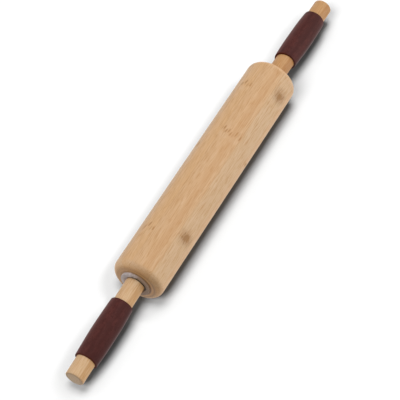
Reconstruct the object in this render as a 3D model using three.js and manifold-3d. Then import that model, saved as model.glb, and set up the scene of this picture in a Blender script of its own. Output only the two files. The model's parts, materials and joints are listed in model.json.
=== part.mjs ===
// Bamboo rolling pin: a turned barrel that spins on two stub handles with leather grips.
// Millimetres, +Z up. The pin lies along X on the plane Z = 0, with its middle over the origin.

import * as THREE from 'three';
import { mergeVertices } from 'three/addons/utils/BufferGeometryUtils.js';
import Module from 'manifold-3d';

// Barrel
const barrelRadius = 26.1;
const barrelLength = 276;
const barrelEdgeRadius = 7.5;

// Handle dowel, which swells a little under the grip to fill the palm
const dowelRadius = 9.4;
const dowelReach = 112;
const dowelEdgeRadius = 1.3;
const palmSwell = 0.9;

// Leather grip, wrapped round the dowel and set back from its outer end
const gripLength = 65.7;
const gripSetback = 20.5;
const leatherThickness = 1.8;
const leatherBevel = 0.5;

// Flanged bush that is glued into the barrel's end
const flangeRadius = 14.9;
const flangeThickness = 2.4;
const flangeEdgeRadius = 0.8;
const sleeveRadius = 13;
const sleeveLength = 20;
const mouthChamfer = 0.4;

// Washer and wood screw that keep the dowel in the bush
const washerRadius = 12.3;
const washerThickness = 1.5;
const screwRadius = 2.5;
const screwLength = 32;
const screwTipLength = 5;
const headRadius = 5.2;
const headHeight = 3;
const headEdgeRadius = 1.2;
const slotWidth = 1.2;
const slotDepth = 1.4;
const pocketClearance = 2;

// Fits: a fixed joint's glue line, the room round a moving piece, and the slack that lets a handle droop
const glueGap = 0.2;
const runningGap = 0.5;
const droop = THREE.MathUtils.degToRad(3);

// Facets of a turned piece. Radii are measured to the flats, and one flat faces straight down.
const sides = 32;
const cornerFactor = 1 / Math.cos(Math.PI / sides);
const arcSteps = 5;
const swellSteps = 8;

// Stations along X from the pin's middle, for the handle at +X
const barrelEnd = barrelLength / 2;
const flangeBack = barrelEnd + glueGap;
const flangeFront = flangeBack + flangeThickness;
const sleeveInnerEnd = barrelEnd - sleeveLength;
const pivotStation = (sleeveInnerEnd + flangeFront) / 2;
const washerOuterFace = sleeveInnerEnd - runningGap;
const washerInnerFace = washerOuterFace - washerThickness;
const dowelInnerEnd = washerOuterFace + dowelRadius * cornerFactor * Math.sin(droop) + runningGap;
const dowelOuterEnd = barrelEnd + dowelReach;
const gripOuterEnd = dowelOuterEnd - gripSetback;
const gripInnerEnd = gripOuterEnd - gripLength;
const headSeat = washerInnerFace - headRadius * cornerFactor * Math.sin(droop) - runningGap;
const headEnd = headSeat - headHeight;
const screwTip = headSeat + screwLength;
const pocketFloor = headEnd - pocketClearance;

// Radii that follow from the fits: a drooping dowel or screw needs room at both ends of its hole
const boreRadius = holeForTilted(dowelRadius, flangeFront - pivotStation);
const washerHoleRadius = holeForTilted(screwRadius, pivotStation - washerInnerFace);
const pocketRadius = sleeveRadius + glueGap;
const pilotRadius = screwRadius + glueGap;

function holeForTilted(shaftRadius, distanceFromPivot) {
  return (shaftRadius * cornerFactor) / Math.cos(droop) + distanceFromPivot * Math.tan(droop) + runningGap;
}

// Points [station, radius] of an arc, with angles counted from +X towards the outside
function arc(centreStation, centreRadius, edgeRadius, fromDegrees, toDegrees) {
  return Array.from({ length: arcSteps + 1 }, (_, step) => {
    const degrees = THREE.MathUtils.lerp(fromDegrees, toDegrees, step / arcSteps);
    const angle = THREE.MathUtils.degToRad(degrees);
    return [centreStation + edgeRadius * Math.cos(angle), centreRadius + edgeRadius * Math.sin(angle)];
  });
}

// Points of the palm swell between the grip's ends, a parabola that stands on the given radius
function swollen(baseRadius) {
  return Array.from({ length: swellSteps + 1 }, (_, step) => {
    const share = step / swellSteps;
    const rise = palmSwell * 4 * share * (1 - share);
    return [THREE.MathUtils.lerp(gripInnerEnd, gripOuterEnd, share), baseRadius + rise];
  });
}

// Revolves [station, radius] points about X, in the order that turns the faces outwards
function turned(points) {
  const profile = points.map(([station, radius]) => new THREE.Vector2(radius * cornerFactor, station));
  return new THREE.LatheGeometry(profile, sides, Math.PI / sides).rotateZ(-Math.PI / 2);
}

const wasm = await Module();
wasm.setup();

// A closed solid from a geometry, with its shared corners welded and its collapsed triangles left out
function toSolid(geometry) {
  geometry.deleteAttribute('normal');
  geometry.deleteAttribute('uv');
  const welded = mergeVertices(geometry);
  const corners = welded.index.array;
  const triVerts = [];
  for (let first = 0; first < corners.length; first += 3) {
    const triangle = [corners[first], corners[first + 1], corners[first + 2]];
    if (new Set(triangle).size === 3) triVerts.push(...triangle);
  }
  return new wasm.Manifold(new wasm.Mesh({
    numProp: 3,
    vertProperties: welded.attributes.position.array,
    triVerts: Uint32Array.from(triVerts),
  }));
}

function cutAway(body, tool) {
  const result = toSolid(body).subtract(toSolid(tool)).getMesh();
  const geometry = new THREE.BufferGeometry();
  geometry.setAttribute('position', new THREE.BufferAttribute(result.vertProperties, 3));
  geometry.setIndex(new THREE.BufferAttribute(result.triVerts, 1));
  return geometry;
}

// Barrel of laminated bamboo, with rounded ends and a blind pocket in each end for bush, washer and screw head
function barrelGeometry() {
  const edgeStation = barrelEnd - barrelEdgeRadius;
  const edgeCentreRadius = barrelRadius - barrelEdgeRadius;
  return turned([
    [-pocketFloor, 0],
    [-pocketFloor, pocketRadius],
    [-barrelEnd, pocketRadius],
    ...arc(-edgeStation, edgeCentreRadius, barrelEdgeRadius, 180, 90),
    ...arc(edgeStation, edgeCentreRadius, barrelEdgeRadius, 90, 0),
    [barrelEnd, pocketRadius],
    [pocketFloor, pocketRadius],
    [pocketFloor, 0],
  ]);
}

// Nylon bush: a sleeve inside the barrel and a flange with a rounded edge against its end
function bushGeometry() {
  return turned([
    [sleeveInnerEnd, boreRadius],
    [sleeveInnerEnd, sleeveRadius],
    [flangeBack, sleeveRadius],
    [flangeBack, flangeRadius],
    ...arc(flangeFront - flangeEdgeRadius, flangeRadius - flangeEdgeRadius, flangeEdgeRadius, 90, 0),
    [flangeFront, boreRadius + mouthChamfer],
    [flangeFront - mouthChamfer, boreRadius],
    [sleeveInnerEnd, boreRadius],
  ]);
}

// Handle dowel with a pilot hole for the screw in its inner end
function dowelGeometry() {
  const pilotFloor = screwTip + runningGap;
  return turned([
    [pilotFloor, 0],
    [pilotFloor, pilotRadius],
    [dowelInnerEnd, pilotRadius],
    [dowelInnerEnd, dowelRadius],
    ...swollen(dowelRadius),
    ...arc(dowelOuterEnd - dowelEdgeRadius, dowelRadius - dowelEdgeRadius, dowelEdgeRadius, 90, 0),
    [dowelOuterEnd, 0],
  ]);
}

// Leather sleeve of even thickness that follows the dowel's swell, with bevelled outer edges
function gripGeometry() {
  const innerRadius = dowelRadius + glueGap;
  const outerRadius = innerRadius + leatherThickness;
  const inside = swollen(innerRadius).reverse();
  return turned([
    [gripInnerEnd, innerRadius],
    [gripInnerEnd, outerRadius - leatherBevel],
    [gripInnerEnd + leatherBevel, outerRadius],
    ...swollen(outerRadius).slice(1, -1),
    [gripOuterEnd - leatherBevel, outerRadius],
    [gripOuterEnd, outerRadius - leatherBevel],
    ...inside,
  ]);
}

// Retaining washer, wider than the bore, that stays square to the bush while the dowel rocks
function washerGeometry() {
  return turned([
    [washerInnerFace, washerHoleRadius],
    [washerInnerFace, washerRadius],
    [washerOuterFace, washerRadius],
    [washerOuterFace, washerHoleRadius],
    [washerInnerFace, washerHoleRadius],
  ]);
}

// Slotted pan-head wood screw, driven along the dowel's axis
function screwGeometry() {
  const edgeStation = headEnd + headEdgeRadius;
  const body = turned([
    [headEnd, 0],
    ...arc(edgeStation, headRadius - headEdgeRadius, headEdgeRadius, 180, 90),
    [headSeat, headRadius],
    [headSeat, screwRadius],
    [screwTip - screwTipLength, screwRadius],
    [screwTip, 0],
  ]);
  const slot = new THREE.BoxGeometry(2 * slotDepth, 3 * headRadius, slotWidth).translate(headEnd, 0, 0);
  return cutAway(body, slot);
}

// Finishes
const barrelBamboo = { color: '#cfa57c', roughness: 0.55, metalness: 0 };
const handleBamboo = { color: '#cfac85', roughness: 0.55, metalness: 0 };
const brownLeather = { color: '#573530', roughness: 0.6, metalness: 0 };
const greyNylon = { color: '#b0a7a2', roughness: 0.5, metalness: 0 };
const zincSteel = { color: '#b9bcc0', roughness: 0.35, metalness: 1 };

function piece(name, geometry, finish) {
  const mesh = new THREE.Mesh(geometry, new THREE.MeshStandardMaterial(finish));
  mesh.name = name;
  return mesh;
}

// Bush and washer stay in line with the barrel. Dowel, grip and screw droop together about the bush's middle.
function handleSide(side) {
  const rocking = new THREE.Group();
  rocking.add(piece(`${side}_handle_dowel`, dowelGeometry().translate(-pivotStation, 0, 0), handleBamboo));
  rocking.add(piece(`${side}_leather_grip`, gripGeometry().translate(-pivotStation, 0, 0), brownLeather));
  rocking.add(piece(`${side}_retaining_screw`, screwGeometry().translate(-pivotStation, 0, 0), zincSteel));
  rocking.position.x = pivotStation;
  rocking.rotation.y = droop;

  const assembly = new THREE.Group();
  assembly.add(piece(`${side}_bush`, bushGeometry(), greyNylon));
  assembly.add(piece(`${side}_retaining_washer`, washerGeometry(), zincSteel));
  assembly.add(rocking);
  return assembly;
}

const rightSide = handleSide('right');
const leftSide = handleSide('left');
leftSide.rotation.z = Math.PI;

const rollingPin = new THREE.Group();
rollingPin.add(piece('barrel', barrelGeometry(), barrelBamboo));
rollingPin.add(rightSide, leftSide);
rollingPin.position.z = barrelRadius;

export default rollingPin;
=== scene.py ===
import json

import bpy
import numpy as np
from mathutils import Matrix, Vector


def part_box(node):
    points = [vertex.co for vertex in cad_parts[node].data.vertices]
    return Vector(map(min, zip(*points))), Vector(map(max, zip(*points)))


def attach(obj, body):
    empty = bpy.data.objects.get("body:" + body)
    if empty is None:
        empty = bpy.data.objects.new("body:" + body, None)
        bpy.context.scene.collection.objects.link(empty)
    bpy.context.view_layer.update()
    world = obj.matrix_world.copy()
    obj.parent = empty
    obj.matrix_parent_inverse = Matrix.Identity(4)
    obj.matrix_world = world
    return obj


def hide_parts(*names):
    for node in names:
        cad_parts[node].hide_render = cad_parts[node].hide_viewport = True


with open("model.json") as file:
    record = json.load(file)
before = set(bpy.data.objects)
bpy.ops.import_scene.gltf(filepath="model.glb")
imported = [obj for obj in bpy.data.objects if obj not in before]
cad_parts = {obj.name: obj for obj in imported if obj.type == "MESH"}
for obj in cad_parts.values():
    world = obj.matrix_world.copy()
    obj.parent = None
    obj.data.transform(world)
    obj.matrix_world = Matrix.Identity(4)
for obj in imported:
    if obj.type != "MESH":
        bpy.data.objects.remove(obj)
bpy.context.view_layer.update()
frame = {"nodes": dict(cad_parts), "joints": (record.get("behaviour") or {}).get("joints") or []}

# Barrel: a roller turned from a block of glued bamboo strips, sanded smooth and oiled.
# Its ends are rounded over, and a pocket in each end takes the bush, the washer and the screw's head.
# The strips lie in layers, and each one shows the fibres and the knots of its own piece of cane.
mm = 0.001
barrel_low, barrel_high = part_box("barrel")
barrel_end = barrel_high.x
barrel_radius = (barrel_high.z - barrel_low.z) / 2
axis_height = barrel_low.z + barrel_radius
barrel_edge_radius = 7.5 * mm
pocket_radius = 13.2 * mm
pocket_floor = 110.2 * mm
barrel_sides = 256
lamination_turn = np.radians(18)


def arc(centre_station, centre_radius, radius, start, stop, steps=10):
    """Outline points (station, radius) of a circular arc: its centre plus the radius along angles that step
    evenly from start to stop, in degrees from +X towards the outside."""
    angles = np.radians(np.linspace(start, stop, steps + 1))
    stations = centre_station + radius * np.cos(angles)
    radii = centre_radius + radius * np.sin(angles)
    return np.column_stack((stations, radii))


def full_turn(sides):
    """Angles of evenly spaced columns round a whole turn."""
    return np.linspace(0, 2 * np.pi, sides, endpoint=False)


def turned(station, radius, angles):
    """Grid of a surface round X: the point of an outline at a station and radius, carried round by an angle
    from the top towards -Y, lies at (station, -radius * sin(angle), radius * cos(angle))."""
    return np.stack(np.broadcast_arrays(station, -radius * np.sin(angles), radius * np.cos(angles)), axis=-1)


def lathed(outline, sides):
    """Grid of a plain turned piece: each outline point (station, radius) goes round X in even steps."""
    return turned(outline[:, :1], outline[:, 1:], full_turn(sides))


def piece_from_grid(name, grid, sharp_angle=40, pole_size=1e-9):
    """Mesh object whose faces join each grid row to the next, closed round the columns. A row on the axis
    becomes one pole with a fan of triangles, and equal first and last rows are joined into one."""
    rows, columns = grid.shape[:2]
    index = np.arange(rows * columns).reshape(rows, columns)
    poles = np.ptp(grid, axis=1).max(axis=1) < pole_size
    index[poles] = index[poles, :1]
    if np.allclose(grid[0], grid[-1]):
        index[-1] = index[0]
    here, after = index[:-1], index[1:]
    corners = np.stack((here, np.roll(here, -1, axis=1), np.roll(after, -1, axis=1), after), axis=-1)
    used, corners = np.unique(corners.reshape(-1, 4), return_inverse=True)
    corners = corners.reshape(-1, 4)
    fan_out = corners[:, 0] == corners[:, 1]
    fan_in = corners[:, 2] == corners[:, 3]
    faces = corners[~(fan_out | fan_in)].tolist()
    faces += corners[fan_out][:, 1:].tolist()
    faces += corners[fan_in][:, :3].tolist()
    mesh = bpy.data.meshes.new(name)
    mesh.from_pydata(grid.reshape(-1, 3)[used].tolist(), [], faces)
    mesh.shade_smooth()
    mesh.set_sharp_from_angle(angle=np.radians(sharp_angle))
    piece = bpy.data.objects.new(name, mesh)
    bpy.context.scene.collection.objects.link(piece)
    return piece


def feed(tree, socket, value):
    """Links a socket to another socket, or sets it to a plain value."""
    if isinstance(value, bpy.types.NodeSocket):
        tree.links.new(value, socket)
    else:
        socket.default_value = value


def add_node(tree, kind, feeds=None, **options):
    """Shader node of a kind, with its options set and its inputs fed by name or number."""
    node = tree.nodes.new("ShaderNode" + kind)
    for option, value in options.items():
        setattr(node, option, value)
    for name, value in (feeds or {}).items():
        feed(tree, node.inputs[name], value)
    return node


def compute(tree, operation, *values):
    """Result of one Math node over sockets or plain numbers."""
    return add_node(tree, "Math", dict(enumerate(values)), operation=operation).outputs[0]


def compute_vector(tree, operation, *vectors):
    """Result of one Vector Math node over sockets or plain triples."""
    return add_node(tree, "VectorMath", dict(enumerate(vectors)), operation=operation).outputs[0]


def length(tree, vector):
    """Length of a vector."""
    return add_node(tree, "VectorMath", {0: vector}, operation="LENGTH").outputs["Value"]


def join(tree, x=0.0, y=0.0, z=0.0):
    """Vector of three sockets or plain numbers."""
    return add_node(tree, "CombineXYZ", {"X": x, "Y": y, "Z": z}).outputs[0]


def split(tree, vector):
    """The parts of a vector, named X, Y and Z."""
    return add_node(tree, "SeparateXYZ", {"Vector": vector}).outputs


def split_colour(tree, colour):
    """The parts of a colour, named Red, Green and Blue."""
    return add_node(tree, "SeparateColor", {"Color": colour}).outputs


def between(tree, share, low, high):
    """Value that goes evenly from low to high with a share from 0 to 1."""
    return compute(tree, "MULTIPLY_ADD", share, high - low, low)


def fade(tree, value, start, stop):
    """Mask that eases from 0 where the value is at start to 1 where it is at stop. Both may be sockets."""
    feeds = {"Value": value, "From Min": start, "From Max": stop}
    return add_node(tree, "MapRange", feeds, interpolation_type="SMOOTHSTEP").outputs["Result"]


def noise(tree, place, spread, detail=2.0, roughness=0.5):
    """Noise from 0 to 1 whose features repeat about `spread` times a millimetre along X, Y and Z."""
    stretched = compute_vector(tree, "MULTIPLY", place, spread)
    feeds = {"Vector": stretched, "Scale": 1.0, "Detail": detail, "Roughness": roughness}
    return add_node(tree, "TexNoise", feeds).outputs[0]


def swing(tree, place, spread, **options):
    """The same noise from -0.5 to 0.5."""
    return compute(tree, "SUBTRACT", noise(tree, place, spread, **options), 0.5)


def random_colour(tree, x, y, z):
    """Colour whose parts are random values from 0 to 1 that belong to three numbers."""
    numbers = join(tree, x, y, z)
    return add_node(tree, "TexWhiteNoise", {"Vector": numbers}, noise_dimensions="3D").outputs["Color"]


def mix_colour(tree, amount, first, second, blend="MIX"):
    """Colour that goes from the first to the second by an amount from 0 to 1."""
    node = add_node(tree, "Mix", data_type="RGBA", blend_type=blend)
    factor, colour_a, colour_b = node.inputs[0], node.inputs[6], node.inputs[7]
    feed(tree, factor, amount)
    feed(tree, colour_a, first)
    feed(tree, colour_b, second)
    return node.outputs[2]


def new_material(name, origin=(0, 0, 0), turn=(0, 0, 0)):
    """Material on a piece's own frame: gives it with its tree, its shader and the surface point in
    millimetres, counted from the frame's origin along its turned axes."""
    material = bpy.data.materials.new(name)
    material.use_nodes = True
    tree = material.node_tree
    point = add_node(tree, "TexCoord").outputs["Object"]
    feeds = {"Vector": point, "Location": origin, "Rotation": turn, "Scale": (mm, mm, mm)}
    place = add_node(tree, "Mapping", feeds, vector_type="TEXTURE").outputs[0]
    return material, tree, tree.nodes["Principled BSDF"].inputs, place


def emboss(tree, shader, height, strength, distance):
    """Bumps a shader's surface by a height mask."""
    bump = add_node(tree, "Bump", {"Height": height, "Strength": strength, "Distance": distance})
    tree.links.new(bump.outputs["Normal"], shader["Normal"])


def from_axis(tree, place):
    """Distance of a point from the X axis."""
    return length(tree, compute_vector(tree, "MULTIPLY", place, (0, 1, 1)))


def laminated_bamboo_group():
    """Masks of glued bamboo strips along X, in millimetres. floor(height / layer) and floor(side / strip)
    number each strip, and random values of its numbers give it a tone, a hue and noise of its own. Streaks
    and fibres are noise drawn out along X. Knots repeat along X at a spacing, shifted by a quadratic of the
    strip's number, each with a paler band beside it. The more a strip is scarred, the more its knots are
    brown clouds and the less they are rows of short slanting dashes, one to a cell across the strip."""
    layer_stagger = 0.37
    strip_offset = (900.0, 90.0, 90.0)
    sway_width = 4.0
    fine_share = 0.92
    knot_step = 0.0224
    knot_step_growth = 0.3396
    layer_knot_step = 0.43
    knot_wander = 8.0
    scar_length = 9.5
    scar_narrowness = 2.4
    scar_raggedness = 1.6
    pale_band_shift = 6.0
    pale_band_reach = 5.0
    pale_band_lift = 0.1
    dash_cell = 2.6
    dash_length = 3.4
    dash_narrowness = 2.3
    dash_scatter = 6.0
    dash_slant = 4.0

    inputs = {
        "Place": "NodeSocketVector",
        "Strip Width": "NodeSocketFloat",
        "Strip Shift": "NodeSocketFloat",
        "Layer Height": "NodeSocketFloat",
        "Layer Shift": "NodeSocketFloat",
        "Knot Spacing": "NodeSocketFloat",
        "Knot Shift": "NodeSocketFloat",
        "Seed": "NodeSocketFloat",
    }
    outputs = ["Strip Tone", "Strip Hue", "Streak", "Fibre", "Knot", "Dash", "Glue Line"]
    tree = bpy.data.node_groups.new("laminated_bamboo", "ShaderNodeTree")
    for socket, kind in inputs.items():
        tree.interface.new_socket(name=socket, in_out="INPUT", socket_type=kind)
    for socket in outputs:
        tree.interface.new_socket(name=socket, in_out="OUTPUT", socket_type="NodeSocketFloat")
    given = tree.nodes.new("NodeGroupInput").outputs
    result = tree.nodes.new("NodeGroupOutput").inputs
    axes = split(tree, given["Place"])

    # Numbers of the layer and the strip, and the random values that belong to them
    height = compute(tree, "ADD", axes["Z"], given["Layer Shift"])
    layers = compute(tree, "DIVIDE", height, given["Layer Height"])
    layer = compute(tree, "FLOOR", layers)
    sideways = compute(tree, "SUBTRACT", given["Strip Shift"], axes["Y"])
    strips = compute(tree, "DIVIDE", sideways, given["Strip Width"])
    strips = compute(tree, "MULTIPLY_ADD", layer, layer_stagger, strips)
    strip = compute(tree, "FLOOR", strips)
    own = random_colour(tree, layer, strip, given["Seed"])
    own_parts = split_colour(tree, own)

    # Streaks and fibres, which sway along the strip's own piece of cane
    cane = compute_vector(tree, "MULTIPLY_ADD", own, strip_offset, given["Place"])
    sway = compute(tree, "MULTIPLY", swing(tree, cane, (0.02, 0.06, 0.06), detail=1.0), sway_width)
    fibres = compute_vector(tree, "ADD", cane, join(tree, y=sway))
    broad = noise(tree, fibres, (0.012, 0.25, 0.25), roughness=0.6)
    fine = noise(tree, fibres, (0.055, 1.3, 1.3), roughness=0.6)
    streak = compute(tree, "MULTIPLY_ADD", compute(tree, "SUBTRACT", fine, broad), fine_share, broad)
    fibre = fade(tree, noise(tree, fibres, (0.09, 1.4, 1.4), detail=1.0), 0.53, 0.64)

    # Distance along the strip from its nearest knot, and the paler band beside the knot
    phase = compute(tree, "MULTIPLY", strip, knot_step)
    phase = compute(tree, "MULTIPLY_ADD", compute(tree, "MULTIPLY", strip, strip), knot_step_growth, phase)
    phase = compute(tree, "MULTIPLY_ADD", layer, layer_knot_step, phase)
    along = compute(tree, "SUBTRACT", axes["X"], given["Knot Shift"])
    turns = compute(tree, "SUBTRACT", compute(tree, "DIVIDE", along, given["Knot Spacing"]), phase)
    nearest = compute(tree, "SUBTRACT", turns, compute(tree, "ROUND", turns))
    from_knot = compute(tree, "MULTIPLY", nearest, given["Knot Spacing"])
    wander = swing(tree, cane, (0.03, 0.09, 0.09), detail=1.0)
    from_knot = compute(tree, "MULTIPLY_ADD", wander, knot_wander, from_knot)
    beside_knot = compute(tree, "ABSOLUTE", compute(tree, "ADD", from_knot, pale_band_shift))
    pale_band = fade(tree, beside_knot, pale_band_reach, 0.0)
    streak = compute(tree, "MULTIPLY_ADD", pale_band, -pale_band_lift, streak)

    # Brown cloud round a scarred knot, with a darker core
    scarred = fade(tree, own_parts["Blue"], 0.2, 0.8)
    scar_side = between(tree, own_parts["Green"], 0.38, 0.63)
    from_side = compute(tree, "SUBTRACT", compute(tree, "FRACT", strips), scar_side)
    scar_along = compute(tree, "DIVIDE", from_knot, scar_length)
    scar_across = compute(tree, "MULTIPLY", from_side, scar_narrowness)
    cloud = swing(tree, cane, (0.16, 0.7, 0.7), detail=3.0, roughness=0.7)
    from_scar = length(tree, join(tree, scar_along, scar_across))
    from_scar = compute(tree, "MULTIPLY_ADD", cloud, scar_raggedness, from_scar)
    halo_and_core = compute(tree, "ADD", fade(tree, from_scar, 1.3, 0.3), fade(tree, from_scar, 0.6, 0.2))
    knot = compute(tree, "MULTIPLY", compute(tree, "MULTIPLY", halo_and_core, 0.5), scarred)

    # Row of dashes across a knot without a scar
    cells = compute(tree, "DIVIDE", axes["Y"], dash_cell)
    cell_parts = split_colour(tree, random_colour(tree, compute(tree, "FLOOR", cells), strip, layer))
    across = compute(tree, "SUBTRACT", compute(tree, "FRACT", cells), 0.5)
    scatter = compute(tree, "SUBTRACT", cell_parts["Red"], 0.5)
    lengthways = compute(tree, "MULTIPLY_ADD", scatter, dash_scatter, from_knot)
    lengthways = compute(tree, "MULTIPLY_ADD", across, dash_slant, lengthways)
    dash_along = compute(tree, "DIVIDE", lengthways, dash_length)
    dash_across = compute(tree, "MULTIPLY", across, dash_narrowness)
    from_dash = length(tree, join(tree, dash_along, dash_across))
    dash_strength = fade(tree, cell_parts["Green"], -0.3, 0.5)
    dash = compute(tree, "MULTIPLY", fade(tree, from_dash, 1.0, 0.4), dash_strength)
    dash = compute(tree, "MULTIPLY", dash, compute(tree, "SUBTRACT", 1.0, scarred))

    # Glue lines between the layers and between the strips
    seams = []
    for position, size in ((layers, given["Layer Height"]), (strips, given["Strip Width"])):
        nearest_seam = compute(tree, "ROUND", position)
        to_seam = compute(tree, "ABSOLUTE", compute(tree, "SUBTRACT", position, nearest_seam))
        seams.append(fade(tree, compute(tree, "MULTIPLY", to_seam, size), 0.35, 0.1))
    glue_line = compute(tree, "MAXIMUM", *seams)

    masks = (own_parts["Red"], own_parts["Green"], streak, fibre, knot, dash, glue_line)
    for name, mask in zip(outputs, masks):
        tree.links.new(mask, result[name])
    return tree


laminated_bamboo = laminated_bamboo_group()


def bamboo_material(name, own_frame, strips, colours, dark_rings):
    """Oiled bamboo: the strip masks mix the fresh wood towards a warmer or a rosier strip, pale and dark
    streaks, fibres, knots, dashes and glue lines. Cut fibre ends on end faces are darker and ringed by the
    lathe, and carry darker rings, each given by its radius, width and strength. On the frame's -Y side the
    end grain starts further back on the rounded edge and the rings are stronger, as painted shade there."""
    # Painted shade towards the frame's -Y: end grain reaches further round the edge there, and rings grow
    # stronger.
    shade_side_reach = 12.0
    lit_side_start = 0.75
    shaded_side_start = 0.15
    lit_side_ring_share = 0.4

    material, tree, shader, place = new_material(name, *own_frame)
    grain = tree.nodes.new("ShaderNodeGroup")
    grain.node_tree = laminated_bamboo
    for socket, value in dict(strips, Place=place).items():
        feed(tree, grain.inputs[socket], value)
    masks = grain.outputs

    # Wood along the grain
    layers_of_colour = (
        (masks["Strip Tone"], 1.0, "warm"),
        (masks["Strip Hue"], 0.8, "rosy"),
        (fade(tree, masks["Streak"], 0.50, 0.34), 0.42, "pale"),
        (fade(tree, masks["Streak"], 0.50, 0.64), 0.5, "streak"),
        (masks["Fibre"], 0.45, "fibre"),
        (masks["Knot"], 0.9, "knot"),
        (masks["Dash"], 0.8, "dash"),
        (masks["Glue Line"], 0.35, "fibre"),
    )
    colour = colours["fresh"]
    for mask, strength, tint in layers_of_colour:
        colour = mix_colour(tree, compute(tree, "MULTIPLY", mask, strength), colour, colours[tint])

    # End grain, with the rings left by turning, the darker rings, and painted shade towards -Y
    normal = add_node(tree, "TexCoord").outputs["Normal"]
    facing = compute(tree, "ABSOLUTE", split(tree, normal)["X"])
    # Painted shade: the end grain's darkening reaches further back towards -Y.
    shaded_end_side = fade(tree, split(tree, place)["Y"], shade_side_reach, -shade_side_reach)
    end_grain = fade(tree, facing, between(tree, shaded_end_side, lit_side_start, shaded_side_start), 1.0)
    radius = from_axis(tree, place)
    rings = noise(tree, join(tree, radius), (0.9, 1, 1), roughness=0.6)
    end_tone = mix_colour(tree, fade(tree, rings, 0.3, 0.7), colours["end_dark"], colours["end_pale"])
    colour = mix_colour(tree, end_grain, colour, end_tone, "MULTIPLY")
    # Painted shade: the rings are stronger towards -Y.
    shaded_ring_share = between(tree, shaded_end_side, lit_side_ring_share, 1.0)
    end_face = compute(tree, "MULTIPLY", fade(tree, end_grain, 0.2, 0.6), shaded_ring_share)
    for ring_radius, ring_width, strength in dark_rings:
        from_ring = compute(tree, "ABSOLUTE", compute(tree, "SUBTRACT", radius, ring_radius))
        ring = compute(tree, "MULTIPLY", fade(tree, from_ring, ring_width, 0.0), end_face)
        colour = mix_colour(tree, compute(tree, "MULTIPLY", ring, strength), colour, colours["ring"])
    tree.links.new(colour, shader["Base Color"])

    # Gloss and relief
    roughness = between(tree, masks["Streak"], 0.38, 0.58)
    roughness = compute(tree, "MULTIPLY_ADD", masks["Fibre"], 0.1, roughness)
    tree.links.new(roughness, shader["Roughness"])
    height = compute(tree, "MULTIPLY_ADD", masks["Fibre"], -0.6, masks["Streak"])
    height = compute(tree, "SUBTRACT", height, masks["Dash"])
    emboss(tree, shader, height, strength=0.25, distance=0.1 * mm)
    return material


barrel_outline = np.vstack((
    (-pocket_floor, 0),
    (-pocket_floor, pocket_radius),
    (-barrel_end, pocket_radius),
    arc(barrel_edge_radius - barrel_end, barrel_radius - barrel_edge_radius, barrel_edge_radius, 180, 90),
    arc(barrel_end - barrel_edge_radius, barrel_radius - barrel_edge_radius, barrel_edge_radius, 90, 0),
    (barrel_end, pocket_radius),
    (pocket_floor, pocket_radius),
    (pocket_floor, 0),
))
barrel_axis = np.array((0, 0, axis_height))
barrel = piece_from_grid("bamboo_barrel", lathed(barrel_outline, barrel_sides) + barrel_axis)
barrel_frame = (barrel_axis, (lamination_turn, 0, 0))

# Strips and rings are given in millimetres, as the material counts them
layer_height = 13.0
barrel_strips = {
    "Strip Width": 21.4,
    "Strip Shift": 14.0,
    "Layer Height": layer_height,
    "Layer Shift": layer_height - barrel_radius / mm,
    "Knot Spacing": 191.5,
    "Knot Shift": 41.0,
    "Seed": 18395.0,
}
# First ring: painted shade round the flange's foot, where it meets the end. Second: a darker ring on the
# rounding.
barrel_rings = ((15.8, 1.7, 1.0), (20.0, 2.0, 0.6))
barrel_colours = {
    "fresh": (0.618, 0.414, 0.238, 1),
    "warm": (0.655, 0.380, 0.170, 1),
    "rosy": (0.592, 0.360, 0.194, 1),
    "pale": (0.668, 0.464, 0.288, 1),
    "streak": (0.545, 0.302, 0.124, 1),
    "fibre": (0.470, 0.225, 0.062, 1),
    "knot": (0.310, 0.140, 0.032, 1),
    "dash": (0.400, 0.180, 0.045, 1),
    "end_dark": (0.720, 0.610, 0.440, 1),
    "end_pale": (0.930, 0.850, 0.680, 1),
    # Dark of the end-face rings, one of them painted shade round the flange.
    "ring": (0.200, 0.105, 0.045, 1),
}
barrel.data.materials.append(
    bamboo_material("oiled_barrel_bamboo", barrel_frame, barrel_strips, barrel_colours, barrel_rings)
)
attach(barrel, "barrel")
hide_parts("barrel")

# Bushes: grey moulded nylon, each a sleeve glued into the barrel's pocket with a flange against its end.
# The flange's edge is rounded and the mouth is chamfered, and the bore is loose enough for the dowel to rock.
bush_low, bush_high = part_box("right_bush")
flange_front = bush_high.x
flange_radius = (bush_high.z - bush_low.z) / 2
flange_back = barrel_end + 0.2 * mm
flange_edge_radius = 0.8 * mm
sleeve_inner_end = bush_low.x
sleeve_radius = 13.0 * mm
bore_radius = 10.55 * mm
mouth_chamfer = 0.4 * mm
bush_sides = 160
nylon_grey = (0.42, 0.37, 0.36, 1)
nylon_pale = (0.52, 0.47, 0.47, 1)
# Brown of the painted shade and painted reflection of the wood on the nylon's -Y side.
painted_shade_brown = (0.22, 0.135, 0.075, 1)
# Dark of the painted shade in the bush's bore and round its mouth.
bore_shade_dark = (0.050, 0.033, 0.020, 1)


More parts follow.
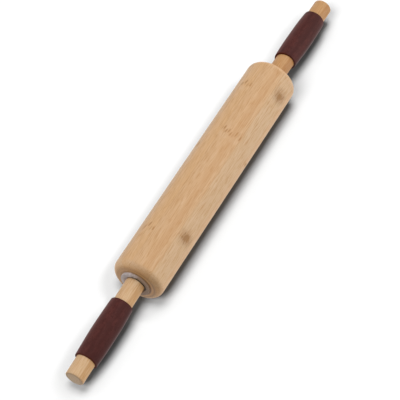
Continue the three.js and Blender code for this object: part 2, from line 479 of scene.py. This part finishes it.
def nylon_material():
    """Satin nylon: a warm grey with faint clouds from moulding and fine specks in its gloss. Towards -Y it is
    browner, as painted shade and a painted brown reflection of the wood. The bore is darkened as painted
    shade, which also reaches out over the mouth on the upper half of that browner side."""
    shaded_side_strength = 0.85
    bore_shade_reach = 2.9
    bore_shade_edge = 0.6

    material, tree, shader, place = new_material("grey_moulded_nylon", barrel_axis)
    axes = split(tree, place)
    clouds = noise(tree, place, (0.25, 0.25, 0.25), detail=3.0)
    colour = mix_colour(tree, fade(tree, clouds, 0.3, 0.7), nylon_grey, nylon_pale)
    # Painted shade and a painted brown reflection of the wood, on the side towards -Y.
    shaded_side = fade(tree, compute(tree, "MULTIPLY_ADD", clouds, 12.0, axes["Y"]), 12.0, 2.0)
    colour = mix_colour(tree, compute(tree, "MULTIPLY", shaded_side, shaded_side_strength), colour, painted_shade_brown)
    upper_shaded_side = compute(tree, "MULTIPLY", shaded_side, fade(tree, axes["Z"], -5.0, 3.0))
    # Painted shade: the bore is darkened, reaching out over the mouth on the upper half of the -Y side.
    past_bore = compute(tree, "SUBTRACT", from_axis(tree, place), bore_radius / mm)
    past_bore_shade = compute(tree, "MULTIPLY_ADD", upper_shaded_side, -bore_shade_reach, past_bore)
    colour = mix_colour(tree, fade(tree, past_bore_shade, 0.0, -bore_shade_edge), colour, bore_shade_dark)
    tree.links.new(colour, shader["Base Color"])
    specks = noise(tree, place, (3.0, 3.0, 3.0))
    tree.links.new(between(tree, specks, 0.38, 0.58), shader["Roughness"])
    emboss(tree, shader, specks, strength=0.15, distance=0.05 * mm)
    shader["Specular IOR Level"].default_value = 0.15
    return material


bush_outline = np.vstack((
    (sleeve_inner_end, bore_radius),
    (sleeve_inner_end, sleeve_radius),
    (flange_back, sleeve_radius),
    (flange_back, flange_radius),
    arc(flange_front - flange_edge_radius, flange_radius - flange_edge_radius, flange_edge_radius, 90, 0),
    (flange_front, bore_radius + mouth_chamfer),
    (flange_front - mouth_chamfer, bore_radius),
    (sleeve_inner_end, bore_radius),
))
bush_grid = lathed(bush_outline, bush_sides)
side_turns = {"right": np.array((1, 1, 1)), "left": np.array((-1, -1, 1))}
nylon = nylon_material()
for side, side_turn in side_turns.items():
    bush = piece_from_grid(f"{side}_nylon_bush", bush_grid * side_turn + barrel_axis)
    bush.data.materials.append(nylon)
    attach(bush, "barrel")
    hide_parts(f"{side}_bush")

# Handle dowels: bamboo turned to a rod that swells a little under the palm, with a small rounded outer edge.
# Each sits loosely in its bush and hangs down on the bush's lower lip, with a pilot hole for its screw.
rock = next(joint for joint in frame["joints"] if joint["name"] == "right_rock")
pivot_station = rock["pos_m"][0]
droop = np.radians(sum(rock["range_deg"]) / 2)
dowel_radius = 9.4 * mm
dowel_inner_end = 118.5 * mm
dowel_outer_end = 250.0 * mm
dowel_edge_radius = 1.3 * mm
palm_swell = 0.9 * mm
pilot_radius = 2.7 * mm
pilot_floor = 147.7 * mm
grip_inner_end = 163.8 * mm
grip_outer_end = 229.5 * mm
dowel_sides = 160
swell_steps = 24


def swell_at(station):
    """Rise of the palm swell: a parabola over the grip's length that is the full swell midway."""
    share = (station - grip_inner_end) / (grip_outer_end - grip_inner_end)
    return palm_swell * 4 * share * (1 - share)


def swollen(base_radius):
    """Outline points of the palm swell between the grip's ends."""
    station = np.linspace(grip_inner_end, grip_outer_end, swell_steps + 1)
    return np.column_stack((station, base_radius + swell_at(station)))


def drooped(grid, side):
    """Handle points turned about Y through the bush's middle by the droop, and on the left half a turn
    about Z as well."""
    from_pivot = grid[..., 0] - pivot_station
    along = pivot_station + from_pivot * np.cos(droop) + grid[..., 2] * np.sin(droop)
    up = grid[..., 2] * np.cos(droop) - from_pivot * np.sin(droop)
    return np.stack((along, grid[..., 1], up), axis=-1) * side_turns[side] + barrel_axis


def tinted(colours, red, green, blue):
    """The same colours, each multiplied by a tint."""
    return {name: tuple(np.multiply(colour, (red, green, blue, 1))) for name, colour in colours.items()}


dowel_outline = np.vstack((
    (pilot_floor, 0),
    (pilot_floor, pilot_radius),
    (dowel_inner_end, pilot_radius),
    (dowel_inner_end, dowel_radius),
    swollen(dowel_radius),
    arc(dowel_outer_end - dowel_edge_radius, dowel_radius - dowel_edge_radius, dowel_edge_radius, 90, 0),
    (dowel_outer_end, 0),
))
dowel_grid = lathed(dowel_outline, dowel_sides)
handle_frames = {
    "right": ((pivot_station, 0, axis_height), (0, droop, 0)),
    "left": ((-pivot_station, 0, axis_height), (0, droop, np.pi)),
}
shared_strips = {
    "Strip Width": 13.0,
    "Layer Height": 40.0,
    "Layer Shift": 20.0,
    "Knot Spacing": 400.0,
    "Knot Shift": 400.0,
}
dowel_strips = {
    "right": dict(shared_strips, **{"Strip Shift": 7.7, "Seed": 7.0}),
    "left": dict(shared_strips, **{"Strip Shift": 5.9, "Seed": 23.0}),
}
shared_colours = dict(
    barrel_colours,
    warm=(0.500, 0.280, 0.115, 1),
    end_dark=(0.60, 0.61, 0.64, 1),
    end_pale=(0.72, 0.75, 0.80, 1),
)
dowel_colours = {
    "right": tinted(shared_colours, 0.84, 0.69, 0.48),
    "left": tinted(shared_colours, 1.04, 1.04, 1.02),
}
dowel_rings = ((8.2, 0.6, 0.8),)
for side in side_turns:
    dowel = piece_from_grid(f"{side}_bamboo_dowel", drooped(dowel_grid, side))
    dowel_bamboo = bamboo_material(
        f"oiled_{side}_dowel_bamboo",
        handle_frames[side],
        dowel_strips[side],
        dowel_colours[side],
        dowel_rings,
    )
    dowel.data.materials.append(dowel_bamboo)
    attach(dowel, f"{side}_handle")
    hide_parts(f"{side}_handle_dowel")

# Leather grips: a strip of dark red-brown leather wrapped once round each dowel and glued, with its cut edges
# rubbed round. The two ends of the strip meet in a butt seam along the underside.
leather_inner_radius = dowel_radius + 0.2 * mm
leather_thickness = 1.8 * mm
leather_outer_radius = leather_inner_radius + leather_thickness
leather_edge_radius = 0.6 * mm
leather_unevenness = 0.1 * mm
seam_angle = np.pi
seam_half_width = 0.5 * mm
seam_depth = 0.8 * mm
leather_sides = 240
askew_cuts = {"right": 0.9 * mm, "left": 0.2 * mm}
# Painted light and shade: each grip's tone slopes across its own Y, paler towards world +Y, darker towards
# -Y.
painted_light_slopes = {"right": 0.006, "left": -0.016}
leather_dark = (0.057, 0.0140, 0.0118, 1)
leather_pale = (0.100, 0.0265, 0.0220, 1)
crease_dark = (0.030, 0.007, 0.006, 1)
cut_edge_red = (0.075, 0.014, 0.004, 1)
seam_dark = (0.020, 0.005, 0.004, 1)


def leather_material(side):
    """Dark leather: a fine pebbled grain in the bump, lengthwise bands and clouds of dye, painted light and
    shade that makes one side paler, dark creases, a dark seam, and drier, redder cut edges."""
    cloud_share = 0.4
    crease_strength = 0.6
    cut_edge_strength = 0.85
    middle = ((grip_inner_end + grip_outer_end) / 2 - pivot_station) / mm
    half_length = (grip_outer_end - grip_inner_end) / 2 / mm

    material, tree, shader, place = new_material(f"dark_leather_{side}", *handle_frames[side])
    axes = split(tree, place)
    bands = noise(tree, place, (0.012, 0.14, 0.14))
    clouds = noise(tree, place, (0.12, 0.25, 0.25), detail=3.0, roughness=0.6)
    tone = compute(tree, "MULTIPLY_ADD", compute(tree, "SUBTRACT", clouds, bands), cloud_share, bands)
    # Painted light and shade: the tone slopes across Y, paler on one side.
    tone = compute(tree, "MULTIPLY_ADD", axes["Y"], painted_light_slopes[side], tone)
    colour = mix_colour(tree, fade(tree, tone, 0.36, 0.64), leather_dark, leather_pale)
    pebbles = add_node(tree, "TexVoronoi", {"Vector": place, "Scale": 1.0}, feature="SMOOTH_F1")
    from_pebble = pebbles.outputs["Distance"]
    creases = compute(tree, "MULTIPLY", fade(tree, from_pebble, 0.45, 0.85), crease_strength)
    colour = mix_colour(tree, creases, colour, crease_dark)
    from_middle = compute(tree, "ABSOLUTE", compute(tree, "SUBTRACT", axes["X"], middle))
    cut_edge = fade(tree, from_middle, half_length - 0.9, half_length - 0.3)
    colour = mix_colour(tree, compute(tree, "MULTIPLY", cut_edge, cut_edge_strength), colour, cut_edge_red)
    below = fade(tree, axes["Z"], 0.0, -1.0)
    seam_reach = fade(tree, compute(tree, "ABSOLUTE", axes["Y"]), 1.2 * seam_half_width / mm, 0.0)
    colour = mix_colour(tree, compute(tree, "MULTIPLY", seam_reach, below), colour, seam_dark)
    tree.links.new(colour, shader["Base Color"])
    roughness = between(tree, clouds, 0.34, 0.54)
    roughness = compute(tree, "MULTIPLY_ADD", cut_edge, 0.2, roughness)
    tree.links.new(roughness, shader["Roughness"])
    pores = noise(tree, place, (4.0, 4.0, 4.0))
    height = compute(tree, "MULTIPLY_ADD", pores, 0.3, compute(tree, "SUBTRACT", 1.0, from_pebble))
    emboss(tree, shader, height, strength=0.4, distance=0.12 * mm)
    shader["Specular IOR Level"].default_value = 0.1
    return material


def leather_grid(outline, askew, crowding=0.7):
    """Grid of a wrapped strip: a turned outline whose outer face rises and falls in slow waves round and
    along it, and sinks at the seam by depth * (1 - distance / half width). The columns crowd together at the
    seam. The inner end is cut askew: its points move along by askew * sin(angle), less and less towards the
    outer end."""
    turn = full_turn(leather_sides)
    angles = turn + crowding * np.sin(turn)
    station, radius = outline[:, :1], outline[:, 1:]
    share = (station - grip_inner_end) / (grip_outer_end - grip_inner_end)
    outward = np.clip((radius - leather_inner_radius - swell_at(station)) / leather_thickness, 0, 1)
    waves = np.sin(3 * angles + 5 * share) * np.cos(2 * angles - 7 * share)
    from_seam = np.abs(angles - seam_angle) * radius
    groove = np.clip(1 - from_seam / seam_half_width, 0, 1)
    uneven_radius = radius + outward * (leather_unevenness * waves - seam_depth * groove)
    return turned(station + askew * (1 - share) ** 2 * np.sin(angles), uneven_radius, angles)


edge_centre = leather_outer_radius - leather_edge_radius
grip_outline = np.vstack((
    (grip_inner_end, leather_inner_radius),
    arc(grip_inner_end + leather_edge_radius, edge_centre, leather_edge_radius, 180, 90, 6),
    swollen(leather_outer_radius)[1:-1],
    arc(grip_outer_end - leather_edge_radius, edge_centre, leather_edge_radius, 90, 0, 6),
    swollen(leather_inner_radius)[::-1],
))
for side in side_turns:
    grip_grid = leather_grid(grip_outline, askew_cuts[side])
    grip = piece_from_grid(f"{side}_leather_wrap", drooped(grip_grid, side))
    grip.data.materials.append(leather_material(side))
    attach(grip, f"{side}_handle")
    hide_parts(f"{side}_leather_grip")

# Washers and screws: zinc-plated steel, inside the barrel's pockets. The washer is wider than the bush's
# bore, and the pan-head screw is driven into the dowel's end, so the handle turns and rocks but stays in.
zinc_grey = (0.48, 0.49, 0.52, 1)
zinc_bright = (0.64, 0.65, 0.66, 1)


def zinc_material():
    """Bright zinc plate: a metal with a faint spangle in its colour and gloss."""
    material, tree, shader, place = new_material("bright_zinc_plate")
    spangle = noise(tree, place, (0.8, 0.8, 0.8), detail=3.0)
    tree.links.new(mix_colour(tree, spangle, zinc_grey, zinc_bright), shader["Base Color"])
    tree.links.new(between(tree, spangle, 0.2, 0.45), shader["Roughness"])
    shader["Metallic"].default_value = 1.0
    return material


zinc = zinc_material()
for side in side_turns:
    for fixing in ("retaining_washer", "retaining_screw"):
        steel = frame["nodes"][f"{side}_{fixing}"].data
        steel.materials.clear()
        steel.materials.append(zinc)

# Studio: a white table under plain soft light, with the key lamp on the +Y side and the fill and rim lamps on
# the -Y side. One more lamp adds sheen alone. Two lamps that reach only the table throw the pin's shadow on
# it, and the table also darkens where the pin closes off the space above it.
floor_half = 6.0
floor_white = 0.104
floor_glow = 0.75
sky_level = 0.4
table_level = 5.0
table_spread = 25
table_from = {"near": (-0.60, 0.05, 0.80), "far": (0.00, 0.05, 1.00)}
open_towards = (0.45, -0.45, 0.77)
open_reach = 26 * mm
closed_share = 0.75
closed_tone = 0.8


def sun_lamp(name, towards, level, spread):
    """Sun lamp that lights a white surface facing it to `level`, from a disc of sky `spread` degrees wide."""
    lamp = bpy.data.lights.new(name, "SUN")
    lamp.energy = level * np.pi
    lamp.angle = np.radians(spread)
    holder = bpy.data.objects.new(name, lamp)
    holder.rotation_euler = Vector(towards).to_track_quat("Z", "Y").to_euler()
    bpy.context.scene.collection.objects.link(holder)
    return holder


def floor_material():
    """White table: to the camera it is a plain matt white under its own lamps, darker where less of the
    space within a short reach is open. Reflections see it white, and it lights everything else with an even
    glow."""
    material = bpy.data.materials.new("white_floor")
    material.use_nodes = True
    tree = material.node_tree
    tree.nodes.remove(tree.nodes["Principled BSDF"])
    feeds = {"Distance": open_reach, "Normal": join(tree, *open_towards)}
    open_share = add_node(tree, "AmbientOcclusion", feeds, samples=32).outputs["AO"]
    tone = between(tree, fade(tree, open_share, closed_share, 1.0), closed_tone, 1.0)
    tone = compute(tree, "MULTIPLY", tone, floor_white)
    matt = add_node(tree, "BsdfDiffuse", {"Color": join(tree, tone, tone, tone)}).outputs[0]
    path = add_node(tree, "LightPath").outputs
    mirrored = compute(tree, "MAXIMUM", path["Is Glossy Ray"], path["Is Transmission Ray"])
    glow = add_node(tree, "Emission", {"Strength": between(tree, mirrored, floor_glow, 1.0)}).outputs[0]
    surface = add_node(tree, "MixShader", {0: path["Is Camera Ray"], 1: glow, 2: matt}).outputs[0]
    tree.links.new(surface, tree.nodes["Material Output"].inputs["Surface"])
    return material


floor_corners = np.array(((-1, -1, 0), (1, -1, 0), (1, 1, 0), (-1, 1, 0))) * floor_half
floor_mesh = bpy.data.meshes.new("floor")
floor_mesh.from_pydata(floor_corners.tolist(), [], [(0, 1, 2, 3)])
floor_mesh.materials.append(floor_material())
floor = bpy.data.objects.new("floor", floor_mesh)
bpy.context.scene.collection.objects.link(floor)

sun_lamp("key_lamp", (-0.20, 0.60, 0.66), level=0.41, spread=30)
fill_lamp = sun_lamp("fill_lamp", (0.75, -0.43, 0.50), level=0.51, spread=26)
rim_lamp = sun_lamp("rim_lamp", (0.60, -0.78, 0.19), level=0.19, spread=40)
sheen_lamp = sun_lamp("sheen_lamp", (0.49, -0.20, 0.85), level=0.2, spread=30)
for lamp in (fill_lamp, rim_lamp, sheen_lamp):
    lamp.data.use_shadow = False
fill_lamp.visible_glossy = False
sheen_lamp.visible_diffuse = False
table_alone = bpy.data.collections.new("lit_by_table_lamps")
table_alone.objects.link(floor)
for place, towards in table_from.items():
    table_lamp = sun_lamp(f"{place}_table_lamp", towards, table_level, table_spread)
    table_lamp.light_linking.receiver_collection = table_alone

sky = bpy.data.worlds.new("white_sky")
sky.use_nodes = True
sky_tree = sky.node_tree
path = add_node(sky_tree, "LightPath").outputs
shown = compute(sky_tree, "MAXIMUM", path["Is Camera Ray"], path["Is Glossy Ray"])
shown = compute(sky_tree, "MAXIMUM", shown, path["Is Transmission Ray"])
background = sky_tree.nodes["Background"]
background.inputs["Color"].default_value = (1, 1, 1, 1)
sky_tree.links.new(between(sky_tree, shown, sky_level, 1.0), background.inputs["Strength"])
bpy.context.scene.world = sky
bpy.context.scene.view_settings.view_transform = "Standard"

# Camera: level, looking down on the pin from beyond its left handle, through a long lens.
# The whole pin lies across the picture from corner to corner, with the left handle nearest.
camera_target = Vector((-27.68, -7.40, 26.28)) * mm
camera_azimuth = np.radians(-61.18)
camera_elevation = np.radians(55.77)
camera_distance = 1744 * mm
camera_back = Vector((
    np.sin(camera_azimuth) * np.cos(camera_elevation),
    -np.cos(camera_azimuth) * np.cos(camera_elevation),
    np.sin(camera_elevation),
))
camera_data = bpy.data.cameras.new("camera")
camera_data.sensor_width = 36.0
camera_data.lens = 163.8
camera = bpy.data.objects.new("camera", camera_data)
camera.location = camera_target + camera_back * camera_distance
camera.rotation_euler = camera_back.to_track_quat("Z", "Y").to_euler()
bpy.context.scene.collection.objects.link(camera)
bpy.context.scene.camera = camera
